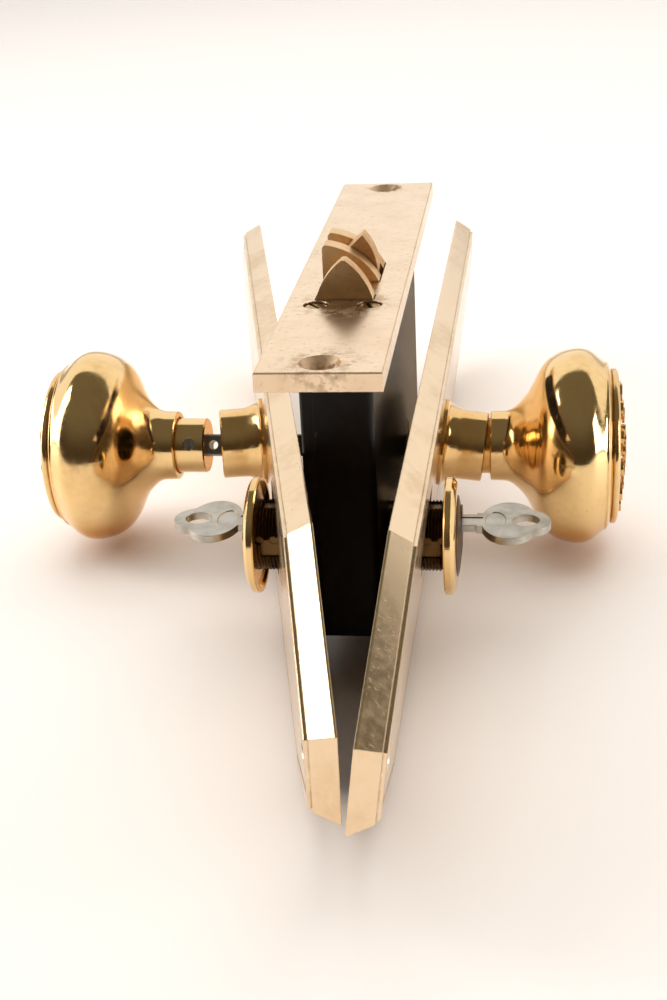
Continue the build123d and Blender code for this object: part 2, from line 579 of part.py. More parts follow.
with BuildPart() as left_knob_shank:
    add(mirror(right_knob_shank.part, about=Plane.YZ, mode=Mode.PRIVATE).moved(LEFT_SHIFT))
left_knob_shank.part.label = "left_knob_shank"
export_step(left_knob_shank.part, "parts/left_knob_shank.step")

with BuildPart() as left_set_screw:
    add(mirror(right_set_screw.part, about=Plane.YZ, mode=Mode.PRIVATE).moved(LEFT_SHIFT))
left_set_screw.part.label = "left_set_screw"
export_step(left_set_screw.part, "parts/left_set_screw.step")

with BuildPart() as left_knob_medallion:
    add(mirror(right_knob_medallion.part, about=Plane.YZ, mode=Mode.PRIVATE).moved(LEFT_SHIFT))
left_knob_medallion.part.label = "left_knob_medallion"
export_step(left_knob_medallion.part, "parts/left_knob_medallion.step")

# ================================================================ right cylinder shell: threaded, four flats, plug bore
with BuildPart() as right_cylinder_shell:
    with BuildSketch(Plane.YZ.offset(CYL_INNER_X)) as shell_body:
        with Locations((CYL_Y, -BACKSET)):
            Circle(CYL_R)
    extrude(amount=RING_BACK_X + 2.15 - CYL_INNER_X)
    with BuildSketch(Plane.XY.offset(-BACKSET)) as thread_profile:
        for k in range(24):
            with Locations((CYL_INNER_X + 1.2 + k * 1.0, CYL_Y + CYL_R)):
                Rectangle(0.55, 0.9, rotation=45)
    revolve(axis=Axis((0, CYL_Y, -BACKSET), (1, 0, 0)), mode=Mode.SUBTRACT)
    with BuildSketch(Plane.XY.offset(-BACKSET)) as head_profile:
        with BuildLine() as head_line:
            Polyline(
                (RING_BACK_X + 2.15, CYL_Y),
                (RING_BACK_X + 2.15, CYL_Y + HEAD_R),
                (RING_BACK_X + 3.6, CYL_Y + HEAD_R),
            )
            Spline(
                (RING_BACK_X + 3.6, CYL_Y + HEAD_R),
                (RING_BACK_X + 4.3, CYL_Y + 8.0),
                (HEAD_FRONT_X, CYL_Y),
                tangents=((0.4, -1), (0, -1)),
            )
            Line((HEAD_FRONT_X, CYL_Y), (RING_BACK_X + 2.15, CYL_Y))
        make_face()
    revolve(axis=Axis((0, CYL_Y, -BACKSET), (1, 0, 0)))
    with BuildSketch(Plane.YZ.offset(CYL_INNER_X)) as shell_flats:
        with Locations((CYL_Y, -BACKSET)):
            with PolarLocations(CYL_R, 4):
                Rectangle(2.4, FLAT_WIDTH)
    extrude(amount=RING_BACK_X - 1.0 - CYL_INNER_X, mode=Mode.SUBTRACT)
    with BuildSketch(Plane.YZ.offset(CYL_INNER_X)) as plug_bore:
        with Locations((PLUG_Y, PLUG_Z)):
            Circle(PLUG_R + 0.04)
    extrude(amount=HEAD_FRONT_X + 1 - CYL_INNER_X, mode=Mode.SUBTRACT)
    with BuildSketch(Plane.XZ.offset(-PLUG_Y)) as driver_bores:
        with Locations(*[(x, PLUG_Z) for x in PIN_XS]):
            Circle(PIN_R + 0.05)
    extrude(amount=16.0, mode=Mode.SUBTRACT)
right_cylinder_shell.part.label = "right_cylinder_shell"
export_step(right_cylinder_shell.part, "parts/right_cylinder_shell.step")

# ================================================================ cylinder ring, a shallow cup open towards the door
with BuildPart() as right_cylinder_ring:
    with BuildSketch(Plane.XY.offset(-BACKSET)) as ring_profile:
        with BuildLine() as ring_line:
            Polyline(
                (RING_BACK_X, CYL_Y + RING_R - 1.3),
                (RING_BACK_X, CYL_Y + RING_R - 0.3),
                (RING_BACK_X + 0.4, CYL_Y + RING_R),
                (RING_BACK_X + 2.0, CYL_Y + RING_R - 0.1),
            )
            Spline(
                (RING_BACK_X + 2.0, CYL_Y + RING_R - 0.1),
                (RING_BACK_X + 3.0, CYL_Y + RING_R - 1.4),
                (RING_BACK_X + 3.5, CYL_Y + HEAD_R + 0.06),
                tangents=((0.8, -1), (0.1, -1)),
            )
            Polyline(
                (RING_BACK_X + 3.5, CYL_Y + HEAD_R + 0.06),
                (RING_BACK_X + 2.1, CYL_Y + HEAD_R + 0.06),
                (RING_BACK_X + 2.1, CYL_Y + CYL_R + 0.06),
                (RING_BACK_X + 1.0, CYL_Y + CYL_R + 0.06),
                (RING_BACK_X + 1.0, CYL_Y + RING_R - 2.2),
                (RING_BACK_X, CYL_Y + RING_R - 1.3),
            )
        make_face()
    revolve(axis=Axis((0, CYL_Y, -BACKSET), (1, 0, 0)))
right_cylinder_ring.part.label = "right_cylinder_ring"
export_step(right_cylinder_ring.part, "parts/right_cylinder_ring.step")

with BuildPart() as right_plug:
    with BuildSketch(Plane.YZ.offset(CYL_INNER_X)) as plug_section:
        with Locations((PLUG_Y, PLUG_Z)):
            Circle(PLUG_R)
    extrude(amount=HEAD_FRONT_X - 0.3 - CYL_INNER_X)
    with BuildSketch(Plane.YZ.offset(5.4)) as keyway:
        with Locations((PLUG_Y + (BLADE_LOW + BLADE_HIGH) / 2, PLUG_Z)):
            Rectangle(BLADE_HIGH - BLADE_LOW + 0.2, BLADE_THICK + 0.2)
    extrude(amount=HEAD_FRONT_X - 5.4, mode=Mode.SUBTRACT)
    with BuildSketch(Plane.XZ.offset(-PLUG_Y)) as bottom_pin_bores:
        with Locations(*[(x, PLUG_Z) for x in PIN_XS]):
            Circle(PIN_R + 0.05)
    extrude(amount=8.0, mode=Mode.SUBTRACT)
    with BuildSketch(Plane.YZ.offset(CYL_INNER_X)) as cam_screw_bores:
        with Locations((PLUG_Y - 3.0, PLUG_Z), (PLUG_Y + 3.0, PLUG_Z)):
            Circle(0.85)
    extrude(amount=2.4, mode=Mode.SUBTRACT)
right_plug.part.label = "right_plug"
export_step(right_plug.part, "parts/right_plug.step")

with BuildPart() as right_bottom_pins:
    with BuildSketch(Plane.XZ.offset(-(PLUG_Y + BLADE_LOW - 0.15))) as bottom_pin_tips:
        with Locations(*[(x, PLUG_Z) for x in PIN_XS]):
            Circle(PIN_R)
    extrude(amount=PLUG_R + BLADE_LOW - 0.35)
right_bottom_pins.part.label = "right_bottom_pins"
export_step(right_bottom_pins.part, "parts/right_bottom_pins.step")

with BuildPart() as right_driver_pins:
    with BuildSketch(Plane.XZ.offset(-(PLUG_Y - PLUG_R - 0.1))) as driver_pin_ends:
        with Locations(*[(x, PLUG_Z) for x in PIN_XS]):
            Circle(PIN_R)
    extrude(amount=2.9)
right_driver_pins.part.label = "right_driver_pins"
export_step(right_driver_pins.part, "parts/right_driver_pins.step")

with BuildPart() as right_pin_springs:
    for x in PIN_XS:
        with BuildLine() as pin_spring_path:
            Helix(0.6, 2.1, 0.8, center=(x, PLUG_Y - PLUG_R - 3.2, PLUG_Z), direction=(0, -1, 0))
        with BuildSketch(Plane(origin=pin_spring_path.line @ 0, z_dir=pin_spring_path.line % 0)):
            Circle(0.16)
        sweep(path=pin_spring_path.line, is_frenet=True)
right_pin_springs.part.label = "right_pin_springs"
export_step(right_pin_springs.part, "parts/right_pin_springs.step")

with BuildPart() as right_chamber_plugs:
    with BuildSketch(Plane.XZ.offset(-(PLUG_Y - PLUG_R - 5.6))) as chamber_plug_ends:
        with Locations(*[(x, PLUG_Z) for x in PIN_XS]):
            Circle(PIN_R + 0.04)
    extrude(amount=0.8)
right_chamber_plugs.part.label = "right_chamber_plugs"
export_step(right_chamber_plugs.part, "parts/right_chamber_plugs.step")

with BuildPart() as right_cam:
    with BuildSketch(Plane.YZ.offset(1.2)) as cam_section:
        with Locations((PLUG_Y, PLUG_Z)):
            Circle(5.0)
        with Locations((PLUG_Y, PLUG_Z - 7.0)):
            Circle(2.0)
        make_hull()
        with Locations((PLUG_Y - 3.0, PLUG_Z), (PLUG_Y + 3.0, PLUG_Z)):
            Circle(0.9, mode=Mode.SUBTRACT)
    extrude(amount=1.35)
right_cam.part.label = "right_cam"
export_step(right_cam.part, "parts/right_cam.step")

with BuildPart() as right_cam_screws:
    with BuildSketch(Plane.YZ.offset(0.5)) as cam_screw_heads:
        with Locations((PLUG_Y - 3.0, PLUG_Z), (PLUG_Y + 3.0, PLUG_Z)):
            Circle(1.4)
    extrude(amount=0.7)
    with BuildSketch(Plane.YZ.offset(0.5)) as cam_screw_shanks:
        with Locations((PLUG_Y - 3.0, PLUG_Z), (PLUG_Y + 3.0, PLUG_Z)):
            Circle(0.8)
    extrude(amount=4.2)
right_cam_screws.part.label = "right_cam_screws"
export_step(right_cam_screws.part, "parts/right_cam_screws.step")

# ================================================================ key, modelled pushed home in the right cylinder
with BuildPart() as home_key:
    with BuildSketch(Plane.XY.offset(PLUG_Z - BLADE_THICK / 2)) as key_outline:
        with Locations((HEAD_FRONT_X + 9.6, PLUG_Y + 0.4)):
            Ellipse(8.2, 12.5)
        with Locations((HEAD_FRONT_X + 14.4, PLUG_Y + 0.4)):
            Circle(7.2)
        with Locations(((5.8 + HEAD_FRONT_X + 4.0) / 2, PLUG_Y + (BLADE_LOW + BLADE_HIGH) / 2)):
            Rectangle(HEAD_FRONT_X + 4.0 - 5.8, BLADE_HIGH - BLADE_LOW)
        with Locations((HEAD_FRONT_X + 1.8, PLUG_Y + 0.5)):
            Rectangle(3.2, 9.4)
        with Locations((HEAD_FRONT_X + 14.4, PLUG_Y + 0.4)):
            Circle(3.9, mode=Mode.SUBTRACT)
        for x, depth in zip(PIN_XS, (1.3, 2.0, 0.9, 1.6, 1.1)):
            with Locations((x, PLUG_Y + BLADE_LOW)):
                Trapezoid(3.6, 2 * depth, 66, rotation=180, mode=Mode.SUBTRACT)
        with Locations((5.8, PLUG_Y + BLADE_LOW)):
            Rectangle(3.4, 3.4, rotation=45, mode=Mode.SUBTRACT)
    extrude(amount=BLADE_THICK)
    with BuildSketch(Plane.XY.offset(PLUG_Z + BLADE_THICK / 2)) as key_groove:
        with Locations(((5.0 + HEAD_FRONT_X + 2.0) / 2, PLUG_Y + 1.9)):
            Rectangle(HEAD_FRONT_X + 2.0 - 5.0, 1.0)
    extrude(amount=-0.7, mode=Mode.SUBTRACT)
    with BuildSketch(Plane.XY.offset(PLUG_Z + BLADE_THICK / 2)) as bow_oval:
        with Locations((HEAD_FRONT_X + 5.6, PLUG_Y + 0.4)):
            Ellipse(3.0, 5.6)
    extrude(amount=-0.2, mode=Mode.SUBTRACT)

with BuildPart() as right_key:
    add(home_key.part.moved(Location((KEY_WITHDRAWN, 0, 0))))
right_key.part.label = "right_key"
export_step(right_key.part, "parts/right_key.step")

# ================================================================ left cylinder: mirror of the right one
for name, source in (
    ("left_cylinder_shell", right_cylinder_shell),
    ("left_cylinder_ring", right_cylinder_ring),
    ("left_plug", right_plug),
    ("left_bottom_pins", right_bottom_pins),
    ("left_driver_pins", right_driver_pins),
    ("left_pin_springs", right_pin_springs),
    ("left_chamber_plugs", right_chamber_plugs),
    ("left_cam", right_cam),
    ("left_cam_screws", right_cam_screws),
    ("left_key", home_key),
):
    with BuildPart() as mirrored:
        add(mirror(source.part, about=Plane.YZ, mode=Mode.PRIVATE))
    mirrored.part.label = name
    export_step(mirrored.part, f"parts/{name}.step")

# ================================================================ escutcheon plates and their knob thimbles
SWING = radians(LEFT_SWING)
TURN = radians(RIGHT_TURN)
LEAN = radians(RIGHT_LEAN)
LEFT_PLANE = Plane(
    origin=LEFT_ORIGIN,
    x_dir=(-sin(SWING), cos(SWING), 0),
    z_dir=(-cos(SWING), -sin(SWING), 0),
)
RIGHT_PLANE = Plane(
    origin=RIGHT_ORIGIN,
    x_dir=(sin(TURN), cos(TURN), 0),
    z_dir=(cos(LEAN) * cos(TURN), -cos(LEAN) * sin(TURN), -sin(LEAN)),
)
PLATE_OUTLINE = (
    (-PLATE_SHOULDER, PLATE_HALF_HEIGHT),
    (PLATE_SHOULDER, PLATE_HALF_HEIGHT),
    (PLATE_HALF_LENGTH, PLATE_END_HALF),
    (PLATE_HALF_LENGTH, -PLATE_END_HALF),
    (PLATE_SHOULDER, -PLATE_HALF_HEIGHT),
    (-PLATE_SHOULDER, -PLATE_HALF_HEIGHT),
    (-PLATE_HALF_LENGTH, -PLATE_END_HALF),
    (-PLATE_HALF_LENGTH, PLATE_END_HALF),
)
BEVEL_ANGLE = degrees(atan(PLATE_BEVEL_INSET / (PLATE_BEVEL_TOP - PLATE_EDGE)))
SCREW_SPOTS = ((-PLATE_SCREW_S, 0), (PLATE_SCREW_S, 0))

for side, plate_plane in (("left", LEFT_PLANE), ("right", RIGHT_PLANE)):
    with BuildPart() as plate:
        with BuildSketch(plate_plane) as plate_edge:
            Polygon(*PLATE_OUTLINE, align=None)
        extrude(amount=PLATE_EDGE)
        with BuildSketch(plate_plane.offset(PLATE_EDGE)) as plate_bevel:
            Polygon(*PLATE_OUTLINE, align=None)
        extrude(amount=PLATE_BEVEL_TOP - PLATE_EDGE, taper=BEVEL_ANGLE)
        with BuildSketch(plate_plane.offset(PLATE_BEVEL_TOP)) as plate_panel:
            Polygon(*PLATE_OUTLINE, align=None)
            offset(amount=-PLATE_BEVEL_INSET - PLATE_STEP, kind=Kind.INTERSECTION)
        extrude(amount=PLATE_FACE - PLATE_BEVEL_TOP)
        with BuildSketch(plate_plane) as plate_recess:
            Polygon(*PLATE_OUTLINE, align=None)
            offset(amount=-PLATE_RECESS_INSET, kind=Kind.INTERSECTION)
        extrude(amount=PLATE_FACE - PLATE_WEB, mode=Mode.SUBTRACT)
        with BuildSketch(plate_plane) as plate_bosses:
            Circle(PLATE_BOSS_R)
            with Locations((-PLATE_CYL_OFFSET, 0)):
                Circle(PLATE_BOSS_R)
            with Locations(*SCREW_SPOTS):
                Circle(PLATE_SCREW_HEAD_R + 1.2)
        extrude(amount=PLATE_FACE - PLATE_WEB)
        with BuildSketch(plate_plane.offset(PLATE_FACE)) as plate_groove:
            Polygon(*PLATE_OUTLINE, align=None)
            offset(amount=-PLATE_GROOVE_INSET, kind=Kind.INTERSECTION)
        with BuildSketch(plate_plane.offset(PLATE_FACE)) as plate_field:
            Polygon(*PLATE_OUTLINE, align=None)
            offset(amount=-PLATE_GROOVE_INSET - PLATE_GROOVE_WIDTH, kind=Kind.INTERSECTION)
        extrude(plate_groove.sketch - plate_field.sketch, amount=-PLATE_GROOVE_DEPTH, mode=Mode.SUBTRACT)
        with BuildSketch(plate_plane) as plate_holes:
            Circle(THIMBLE_SPIGOT_R + 0.02)
            with Locations((-PLATE_CYL_OFFSET, 0)):
                Circle(PLATE_CYL_HOLE_R)
        extrude(amount=PLATE_FACE, mode=Mode.SUBTRACT)
        with Locations(plate_plane.offset(PLATE_FACE)):
            with Locations(*SCREW_SPOTS):
                CounterSinkHole(PLATE_SCREW_R, PLATE_SCREW_HEAD_R, PLATE_FACE + 1)
    plate.part.label = f"{side}_plate"
    export_step(plate.part, f"parts/{side}_plate.step")

    with BuildPart() as thimble:
        with BuildSketch(Plane(origin=plate_plane.origin, x_dir=plate_plane.z_dir, z_dir=plate_plane.x_dir)):
            with BuildLine():
                Polyline(
                    (PLATE_FACE + 9.0, THIMBLE_R),
                    (THIMBLE_LENGTH - 0.4, THIMBLE_R),
                    (THIMBLE_LENGTH, THIMBLE_R - 0.4),
                    (THIMBLE_LENGTH, THIMBLE_BORE_R),
                    (0.0, THIMBLE_BORE_R),
                    (0.0, THIMBLE_SPIGOT_R),
                    (PLATE_FACE + 0.02, THIMBLE_SPIGOT_R),
                    (PLATE_FACE + 0.02, THIMBLE_FLARE_R),
                    (PLATE_FACE + 1.1, THIMBLE_FLARE_R),
                )
                Spline(
                    (PLATE_FACE + 1.1, THIMBLE_FLARE_R),
                    (PLATE_FACE + 2.1, THIMBLE_R + 1.6),
                    (PLATE_FACE + 4.6, THIMBLE_R + 0.5),
                    (PLATE_FACE + 9.0, THIMBLE_R),
                    tangents=((0.35, -1), (1, 0)),
                )
            make_face()
        revolve(axis=Axis(plate_plane.origin, plate_plane.z_dir))
    thimble.part.label = f"{side}_thimble"
    export_step(thimble.part, f"parts/{side}_thimble.step")
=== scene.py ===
import json
import math

import bpy
from mathutils import Matrix, Vector

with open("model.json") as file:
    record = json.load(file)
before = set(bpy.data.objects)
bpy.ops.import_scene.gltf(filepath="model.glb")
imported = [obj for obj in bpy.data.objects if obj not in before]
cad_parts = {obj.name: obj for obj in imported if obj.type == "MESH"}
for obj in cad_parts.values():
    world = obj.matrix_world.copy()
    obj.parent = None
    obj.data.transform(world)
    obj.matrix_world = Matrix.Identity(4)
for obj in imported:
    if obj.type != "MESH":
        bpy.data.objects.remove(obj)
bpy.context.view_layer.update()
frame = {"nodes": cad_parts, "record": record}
nodes = frame["nodes"]

MM = 0.001
FLOOR_Z = -104.5 * MM  # level of the escutcheon plates' lower edges


# ---------------------------------------------------------------- shader helpers
class Nodes:
    """A short way to write a node tree: every helper returns an output socket."""

    def __init__(self, tree):
        self.tree = tree

    def node(self, kind, **values):
        n = self.tree.nodes.new(kind)
        for key, value in values.items():
            setattr(n, key, value)
        return n

    def put(self, socket, value):
        """Link or set a socket; a colour may leave out its alpha."""
        if isinstance(value, bpy.types.NodeSocket):
            self.tree.links.new(value, socket)
        elif value is not None:
            if isinstance(value, tuple) and len(value) == 3 and socket.type == "RGBA":
                value = (*value, 1.0)
            socket.default_value = value

    def math(self, operation, a, b=None, clamp=False):
        n = self.node("ShaderNodeMath", operation=operation, use_clamp=clamp)
        for socket, value in zip(n.inputs, (a, b)):
            self.put(socket, value)
        return n.outputs[0]

    def add(self, a, b, clamp=False):
        return self.math("ADD", a, b, clamp)

    def less(self, a, b):
        return self.math("SUBTRACT", a, b)

    def times(self, a, b):
        return self.math("MULTIPLY", a, b)

    def most(self, a, b):
        return self.math("MAXIMUM", a, b)

    def ramp(self, value, low, high, out_low=0.0, out_high=1.0):
        """Smooth step from out_low to out_high as the value goes from low to high."""
        n = self.node("ShaderNodeMapRange", interpolation_type="SMOOTHSTEP")
        settings = {
            "Value": value,
            "From Min": low,
            "From Max": high,
            "To Min": out_low,
            "To Max": out_high,
        }
        for key, setting in settings.items():
            self.put(n.inputs[key], setting)
        return n.outputs["Result"]

    def mix(self, factor, a, b):
        n = self.node("ShaderNodeMix", data_type="RGBA")
        self.put(n.inputs[0], factor)
        self.put(n.inputs[6], a)
        self.put(n.inputs[7], b)
        return n.outputs[2]

    def dot(self, a, b):
        n = self.node("ShaderNodeVectorMath", operation="DOT_PRODUCT")
        self.put(n.inputs[0], a)
        self.put(n.inputs[1], b)
        return n.outputs["Value"]

    def height_of(self, vector):
        n = self.node("ShaderNodeSeparateXYZ")
        self.put(n.inputs[0], vector)
        return n.outputs["Z"]


class Graph(Nodes):
    """A Principled material in object coordinates, with scales in features per metre."""

    def __init__(self, name):
        self.material = bpy.data.materials.new(name)
        self.material.use_nodes = True
        super().__init__(self.material.node_tree)
        self.bsdf = self.tree.nodes["Principled BSDF"]
        self.coord = self.node("ShaderNodeTexCoord").outputs["Object"]
        self.normal_in = None

    def mapping(self, scale, rotation=(0, 0, 0)):
        n = self.node("ShaderNodeMapping")
        self.put(n.inputs["Vector"], self.coord)
        n.inputs["Scale"].default_value = scale
        n.inputs["Rotation"].default_value = rotation
        return n.outputs[0]

    def noise(self, scale, detail=3.0, rough=0.5, vector=None):
        n = self.node("ShaderNodeTexNoise")
        self.put(n.inputs["Vector"], vector or self.coord)
        n.inputs["Scale"].default_value = scale
        n.inputs["Detail"].default_value = detail
        n.inputs["Roughness"].default_value = rough
        return n.outputs["Fac"]

    def voronoi(self, scale):
        n = self.node("ShaderNodeTexVoronoi", feature="F1")
        self.put(n.inputs["Vector"], self.coord)
        n.inputs["Scale"].default_value = scale
        return n.outputs["Distance"]

    def distance(self, point):
        n = self.node("ShaderNodeVectorMath", operation="DISTANCE")
        self.put(n.inputs[0], self.coord)
        n.inputs[1].default_value = point
        return n.outputs["Value"]

    def crevice(self, reach):
        """Openness within the reach: 1 on an open face, towards 0 deep in a corner."""
        n = self.node("ShaderNodeAmbientOcclusion", samples=6)
        n.inputs["Distance"].default_value = reach
        return n.outputs["AO"]

    def face_normal(self):
        return self.node("ShaderNodeNewGeometry").outputs["Normal"]

    def rounded_normal(self, radius):
        n = self.node("ShaderNodeBevel", samples=4)
        n.inputs["Radius"].default_value = radius
        return n.outputs[0]

    def soft_edges(self, radius):
        self.normal_in = self.rounded_normal(radius)

    def bump(self, height, strength, distance):
        n = self.node("ShaderNodeBump")
        n.inputs["Strength"].default_value = strength
        n.inputs["Distance"].default_value = distance
        self.put(n.inputs["Height"], height)
        self.put(n.inputs["Normal"], self.normal_in)
        self.normal_in = n.outputs[0]

    def scratches(self, scale, rotation, stretch, threshold):
        """Thin random lines: noise drawn out along one direction, kept only at its peaks."""
        vector = self.mapping(scale=(1.0 / stretch, 1.0, 1.0), rotation=rotation)
        fac = self.noise(scale, detail=2.0, rough=0.6, vector=vector)
        return self.ramp(fac, threshold, threshold + 0.05)

    def finish(self, color, roughness, metallic=1.0, **more):
        self.put(self.bsdf.inputs["Base Color"], color)
        self.put(self.bsdf.inputs["Roughness"], roughness)
        self.put(self.bsdf.inputs["Metallic"], metallic)
        self.put(self.bsdf.inputs["Normal"], self.normal_in)
        for key, value in more.items():
            self.put(self.bsdf.inputs[key.replace("_", " ")], value)
        return self.material


# ---------------------------------------------------------------- materials
GOLD = (0.90, 0.64, 0.31)
AMBER = (0.62, 0.34, 0.10)
PALE = (0.86, 0.66, 0.44)
UMBER = (0.20, 0.10, 0.04)
SOOT = (0.030, 0.014, 0.005)
NECK_REFLECTION_PAINT = (0.74, 0.34, 0.05)  # painted reflection: the warm orange of brass in a neck, which mostly mirrors itself, painted into the colour
NECK_REACH = 24 * MM


def old_brass(name, bright, tarnish, rough, tarnish_amount=0.5, grime=0.7, scratch=0.4,
              edge=0.25, painted_neck_reflection=0.0):
    """Handled brass: cloudy tarnish, spots, fine scratches and dirt in the corners.

    edge is how far sharp edges look rounded, in mm, and the last argument sets how strongly the
    deep necks are tinted with a painted warm reflection of the brass.
    """
    g = Graph(name)
    g.soft_edges(edge * MM)
    cloud = g.noise(38.0, detail=5.0, rough=0.6)
    fine = g.noise(420.0, detail=4.0, rough=0.6)
    stain = g.ramp(g.add(cloud, g.times(fine, 0.25)), 0.56, 0.80)
    spots = g.ramp(g.voronoi(330.0), 0.10, 0.02)
    spots = g.times(spots, g.ramp(g.noise(70.0, detail=2.0), 0.52, 0.66))
    lines = g.most(
        g.scratches(900.0, rotation=(0.3, 0.9, 0.4), stretch=26.0, threshold=0.66),
        g.scratches(1100.0, rotation=(1.1, 0.2, -0.7), stretch=34.0, threshold=0.67),
    )
    color = g.mix(g.times(stain, tarnish_amount), bright, tarnish)
    color = g.mix(g.times(spots, 0.7), color, tuple(c * 0.22 for c in tarnish))
    dirt = g.ramp(g.crevice(1.6 * MM), 0.75, 0.25)
    dirt = g.times(dirt, g.times(g.ramp(fine, 0.25, 0.6), grime))
    color = g.mix(dirt, color, SOOT)
    # painted reflection: the deep necks are tinted warm orange, as if the brass there mirrored
    # itself
    if painted_neck_reflection:
        neck_reflection_mask = g.ramp(g.crevice(NECK_REACH), 0.80, 0.45)
        color = g.mix(g.times(neck_reflection_mask, painted_neck_reflection), color, NECK_REFLECTION_PAINT)
    roughness = g.add(rough, g.times(stain, 0.10))
    roughness = g.add(roughness, g.times(g.ramp(fine, 0.35, 0.75), 0.05))
    roughness = g.add(roughness, g.times(dirt, 0.5))
    g.bump(g.less(g.times(fine, 0.15), lines), scratch * 0.35, 0.05 * MM)
    return g.finish(color, roughness)


# places on the lock front, along its length from its middle
FRONT_SCREWS_Y = 94 * MM
SET_SCREWS_Y = -44 * MM
CHAMFER_NORMAL_Z = 0.707  # the front's edges are cut at 45 degrees


def front_brass():
    """The lock front: rubbed flat brass, pale, finely scratched, dirty about its holes."""
    g = Graph("front_brass")
    g.soft_edges(0.35 * MM)
    cloud = g.noise(55.0, detail=5.0, rough=0.6)
    fine = g.noise(600.0, detail=4.0, rough=0.65)
    grain = g.noise(1500.0, detail=2.0, rough=0.6, vector=g.mapping(scale=(1.0, 0.02, 1.0)))
    lines = g.most(
        g.scratches(800.0, rotation=(0, 0, 1.35), stretch=30.0, threshold=0.655),
        g.scratches(950.0, rotation=(0, 0, 0.75), stretch=26.0, threshold=0.665),
    )
    color = g.mix(g.ramp(cloud, 0.35, 0.70), (0.92, 0.72, 0.51), (0.84, 0.63, 0.42))
    color = g.mix(g.times(g.ramp(fine, 0.56, 0.72), 0.5), color, (0.36, 0.20, 0.08))
    near = g.ramp(g.distance((0, -FRONT_SCREWS_Y, 0)), 14 * MM, 6 * MM)
    middle = g.ramp(g.distance((0, SET_SCREWS_Y, 0)), 17 * MM, 8 * MM)
    far = g.ramp(g.distance((0, FRONT_SCREWS_Y, 0)), 9 * MM, 5 * MM)
    stain = g.most(near, g.most(middle, far))
    stain = g.times(stain, g.ramp(g.noise(260.0, detail=5.0, rough=0.7), 0.44, 0.62))
    color = g.mix(g.times(stain, 0.35), color, (0.20, 0.11, 0.045))
    dirt = g.times(g.ramp(g.crevice(1.5 * MM), 0.7, 0.2), 0.8)
    color = g.mix(dirt, color, (0.02, 0.011, 0.005))
    roughness = g.add(0.17, g.times(grain, 0.10))
    roughness = g.add(roughness, g.times(stain, 0.25))
    off_chamfer = g.math("ABSOLUTE", g.less(g.height_of(g.face_normal()), CHAMFER_NORMAL_Z))
    rubbed = g.ramp(off_chamfer, 0.12, 0.05)
    roughness = g.add(roughness, g.times(rubbed, 0.45))
    height = g.less(g.times(grain, 0.5), g.times(lines, 1.2))
    height = g.less(height, g.times(stain, 0.6))
    g.bump(height, 0.22, 0.06 * MM)
    return g.finish(color, roughness)


def japanned_iron():
    """The case: black baked lacquer with an orange-peel surface and a few rusty chips."""
    g = Graph("japanned_iron")
    g.soft_edges(0.5 * MM)
    orange = g.noise(260.0, detail=4.0, rough=0.55)
    fine = g.noise(900.0, detail=4.0, rough=0.6)
    chips = g.add(g.noise(75.0, detail=6.0, rough=0.7), g.times(fine, 0.12))
    chips = g.ramp(chips, 0.76, 0.79)
    color = g.mix(g.ramp(orange, 0.3, 0.8), (0.006, 0.004, 0.003), (0.012, 0.008, 0.006))
    color = g.mix(chips, color, (0.10, 0.045, 0.02))
    roughness = g.add(0.34, g.times(g.ramp(fine, 0.3, 0.8), 0.06))
    roughness = g.add(roughness, g.times(chips, 0.35), clamp=True)
    g.bump(g.less(orange, g.times(chips, 0.5)), 0.12, 0.12 * MM)
    return g.finish(color, roughness, metallic=0.0, IOR=1.28)


def steel(name, color_a, color_b, rough, rust):
    """Bare steel between two greys, with rust stains and fine scratches."""
    g = Graph(name)
    g.soft_edges(0.15 * MM)
    fine = g.noise(700.0, detail=4.0, rough=0.65)
    stain = g.times(g.ramp(g.noise(180.0, detail=5.0, rough=0.65), 0.5, 0.72), rust)
    color = g.mix(g.ramp(fine, 0.3, 0.7), color_a, color_b)
    color = g.mix(stain, color, (0.11, 0.05, 0.02))
    lines = g.scratches(1200.0, rotation=(0.2, 0.1, 0.6), stretch=20.0, threshold=0.66)
    g.bump(g.add(fine, lines), 0.2, 0.05 * MM)
    return g.finish(color, g.add(rough, g.times(stain, 0.4)))


def key_nickel():
    """Worn nickel plating: grey, finely scratched, rubbed through to brass along the edges."""
    g = Graph("key_nickel")
    g.soft_edges(0.3 * MM)
    fine = g.noise(800.0, detail=4.0, rough=0.65)
    cloud = g.noise(160.0, detail=5.0, rough=0.6)
    color = g.mix(g.ramp(cloud, 0.35, 0.7), (0.55, 0.53, 0.48), (0.40, 0.38, 0.34))
    edge = g.ramp(g.dot(g.rounded_normal(0.8 * MM), g.face_normal()), 0.995, 0.90)
    edge = g.times(edge, g.ramp(fine, 0.30, 0.55))
    color = g.mix(g.times(edge, 0.75), color, (0.60, 0.43, 0.18))
    lines = g.most(
        g.scratches(900.0, rotation=(0, 0, 0.4), stretch=24.0, threshold=0.65),
        g.scratches(1000.0, rotation=(0, 0, -0.9), stretch=24.0, threshold=0.66),
    )
    g.bump(g.less(g.times(fine, 0.3), lines), 0.25, 0.05 * MM)
    return g.finish(color, g.add(0.30, g.times(cloud, 0.15)))


